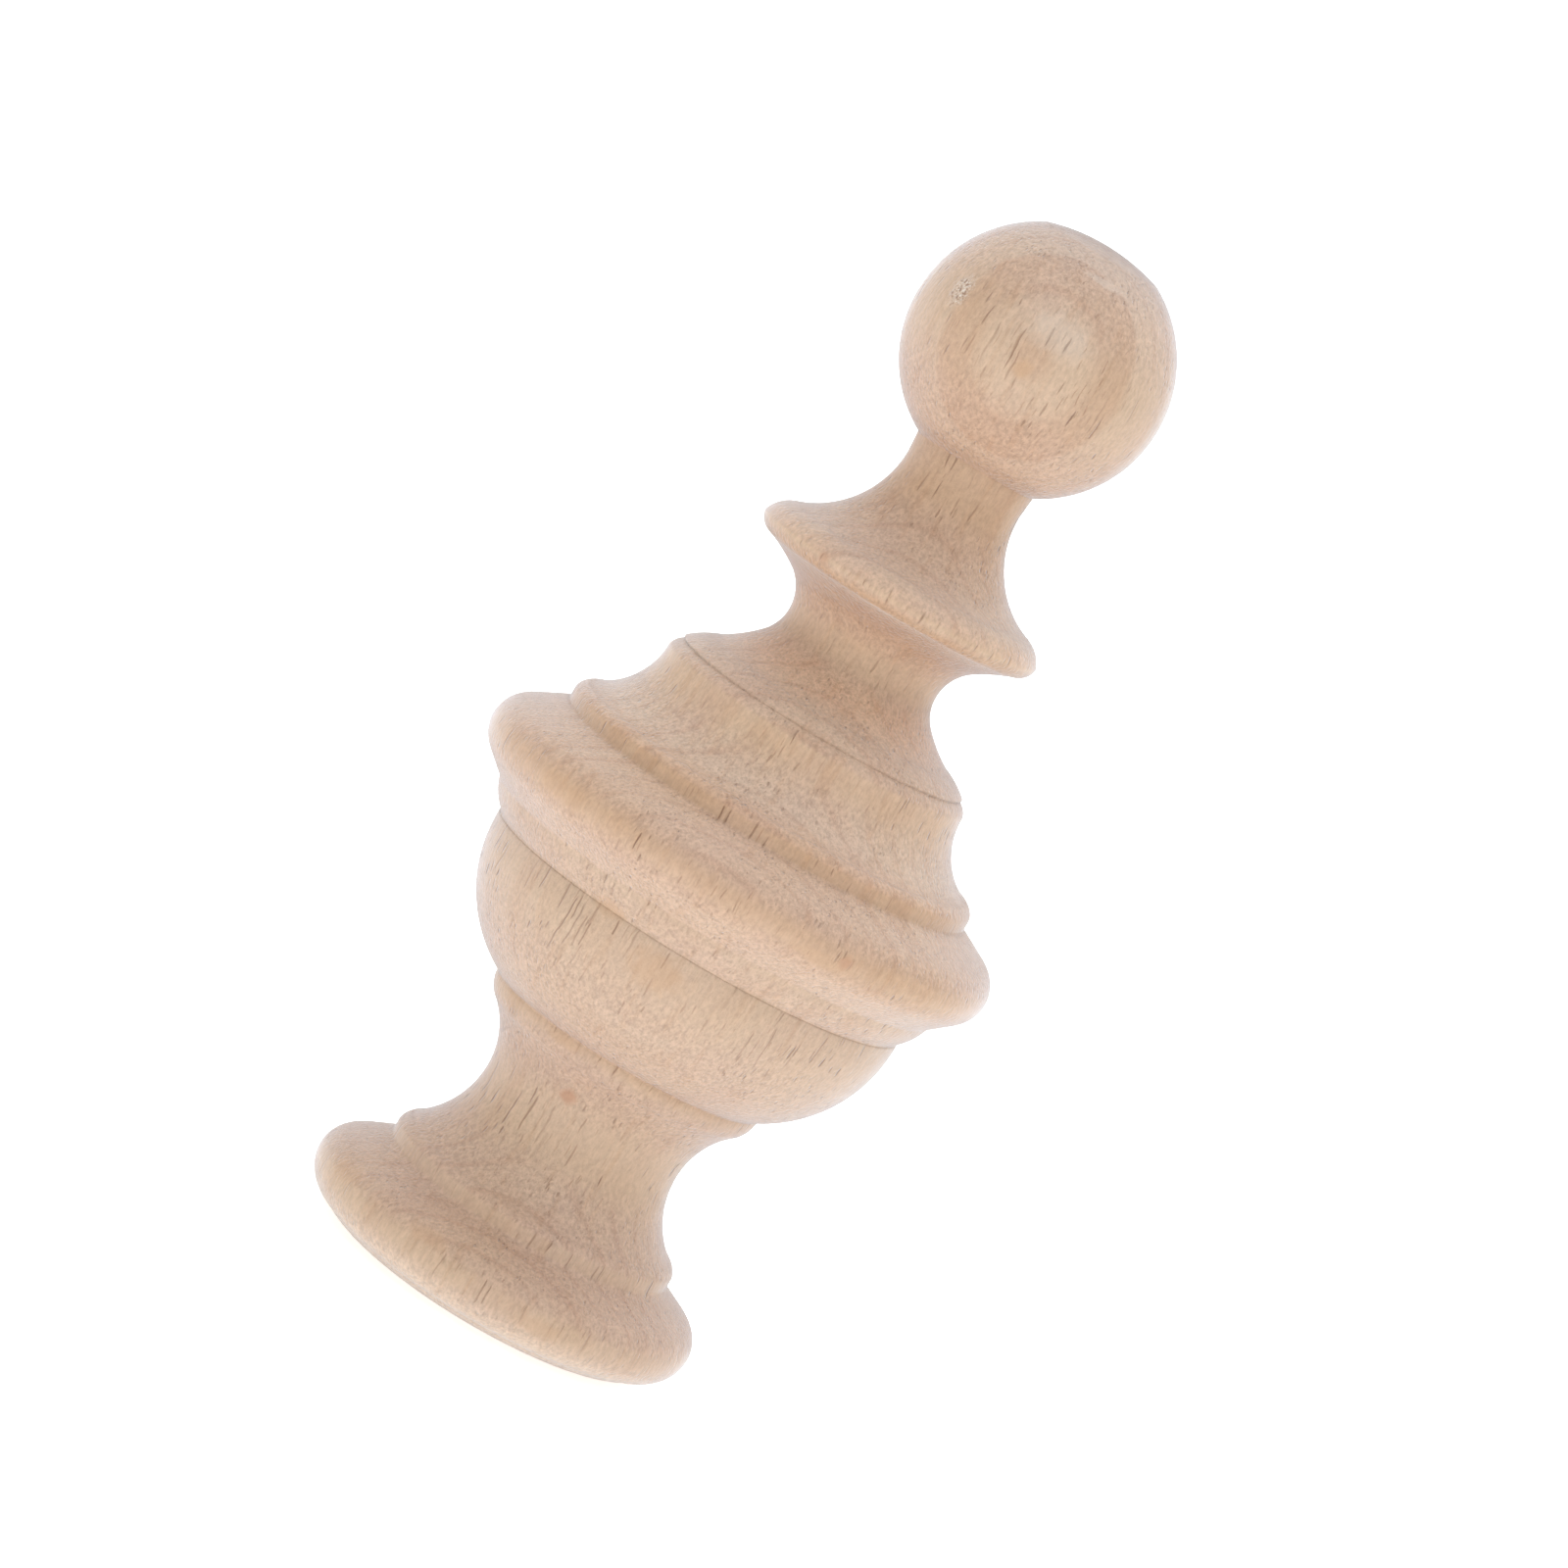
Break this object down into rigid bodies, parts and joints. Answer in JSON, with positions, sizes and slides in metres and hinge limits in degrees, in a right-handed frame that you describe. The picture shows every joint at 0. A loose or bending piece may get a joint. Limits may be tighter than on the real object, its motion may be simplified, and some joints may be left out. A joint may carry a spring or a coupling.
{
  "type": "curtain pole finial",
  "caption": "Turned wooden finial for a curtain pole: round foot, hollow stem, bowl under a wide collar, thin disc on a slender neck, ball on top and a blind pilot hole in the flat base.",
  "frame": {"origin": "centre of the flat foot, where the turning axis meets the seat", "axes": "+Z runs along the turning axis from the foot to the ball"},
  "size_m": [0.05, 0.05, 0.1067],
  "materials": {
    "wood": "pale hardwood, sanded matt and left bare"
  },
  "bodies": {
    "root": {"turned_finial": "wood"}
  },
  "joints": []
}
